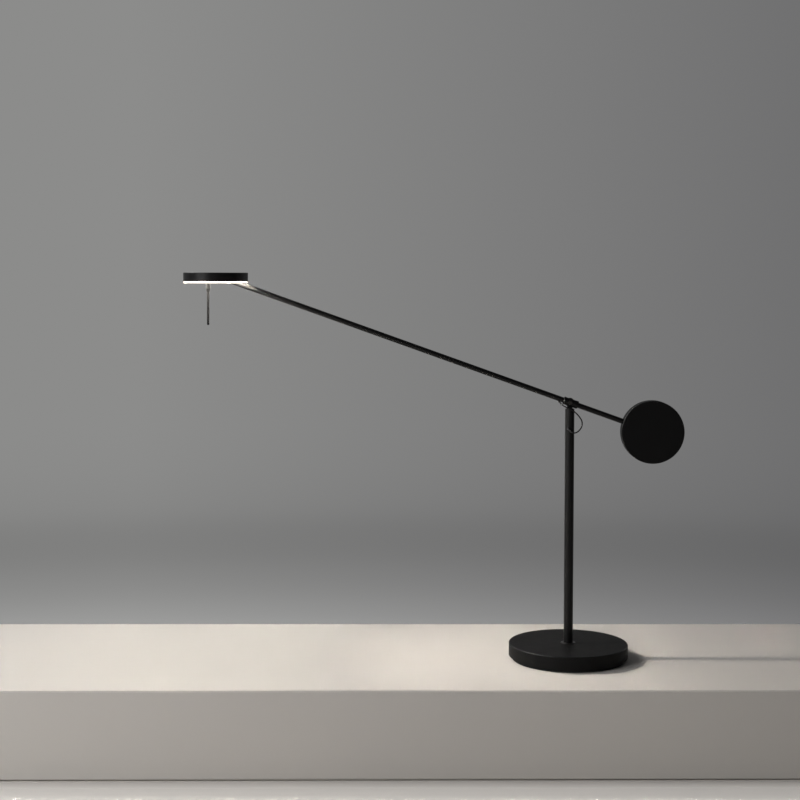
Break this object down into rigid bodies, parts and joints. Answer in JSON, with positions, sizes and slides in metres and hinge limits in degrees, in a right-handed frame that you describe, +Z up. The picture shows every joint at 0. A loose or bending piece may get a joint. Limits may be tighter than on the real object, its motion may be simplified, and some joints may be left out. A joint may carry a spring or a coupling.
{
  "type": "desk lamp",
  "caption": "Counterweight balance desk lamp: round base, turning pole, rocking straight arm with a disc counterweight, and a thin tilting round lit head with a stick handle.",
  "frame": {"origin": "centre of the underside of the base pad, on the pole's axis", "axes": "+Z up along the pole, -X towards the lit head and +X towards the counterweight at rest, +Y towards the inlet at the back of the base"},
  "size_m": [0.7562, 0.18, 0.5843],
  "materials": {
    "black_steel": "fine matte black powder coat",
    "black_aluminium": "matte black coat on spun aluminium",
    "plain_steel": "zinc plated",
    "plain_aluminium": "as rolled",
    "black_plastic": "moulded satin",
    "white_nylon": "smooth",
    "circuit_board": "white solder mask",
    "led_phosphor": "clear domed phosphor",
    "opal_diffuser": "opal acrylic, lit warm white",
    "cable_jacket": "smooth soft sheath",
    "foam_pad": "closed-cell foam"
  },
  "bodies": {
    "base": {"base_cover": "black_steel", "base_ballast": "plain_steel", "base_plate": "black_steel", "base_plate_screws": "plain_steel", "base_pad": "foam_pad", "swivel_bush": "black_steel", "swivel_stop_pin": "plain_steel", "power_jack": "black_plastic", "base_wire": "cable_jacket"},
    "pole": {"pole_tube": "black_steel", "pole_end_plug": "plain_steel", "swivel_washer": "plain_steel", "pole_head": "black_steel", "pole_grommet": "black_plastic", "pole_wire": "cable_jacket", "cable_loop": "cable_jacket"},
    "arm": {"arm_tube": "black_steel", "arm_hub": "black_steel", "hub_core": "plain_steel", "hub_set_screw": "plain_steel", "hub_pin": "black_steel", "hub_pin_screw": "black_steel", "hub_washers": "white_nylon", "arm_gland": "black_plastic", "arm_wire": "cable_jacket", "counterweight": "black_steel", "counterweight_screw": "plain_steel", "tip_fitting": "black_steel"},
    "head": {"head_shell": "black_aluminium", "hinge_bracket": "plain_steel", "bracket_screws": "plain_steel", "head_pin": "plain_steel", "head_washers": "white_nylon", "heat_sink": "plain_aluminium", "led_board": "circuit_board", "sink_screws": "plain_steel", "led_chips": "led_phosphor", "slot_liner": "black_plastic", "diffuser": "opal_diffuser", "handle_ferrule": "black_steel", "handle_nut": "plain_steel", "handle_rod": "black_steel"}
  },
  "joints": [
    {"name": "pole_swivel", "type": "hinge", "parent": "base", "child": "pole", "pos_m": [0, 0, 0.0142], "axis": [0, 0, 1], "range_deg": [-165, 165]},
    {"name": "arm_tilt", "type": "hinge", "parent": "pole", "child": "arm", "pos_m": [0, 0, 0.39], "axis": [0, 1, 0], "range_deg": [-44.5, 5.4], "deforming": ["cable_loop"]},
    {"name": "head_tilt", "type": "hinge", "parent": "arm", "child": "head", "pos_m": [-0.52718, 0, 0.5771], "axis": [0, -1, 0], "range_deg": [-3, 70]}
  ]
}
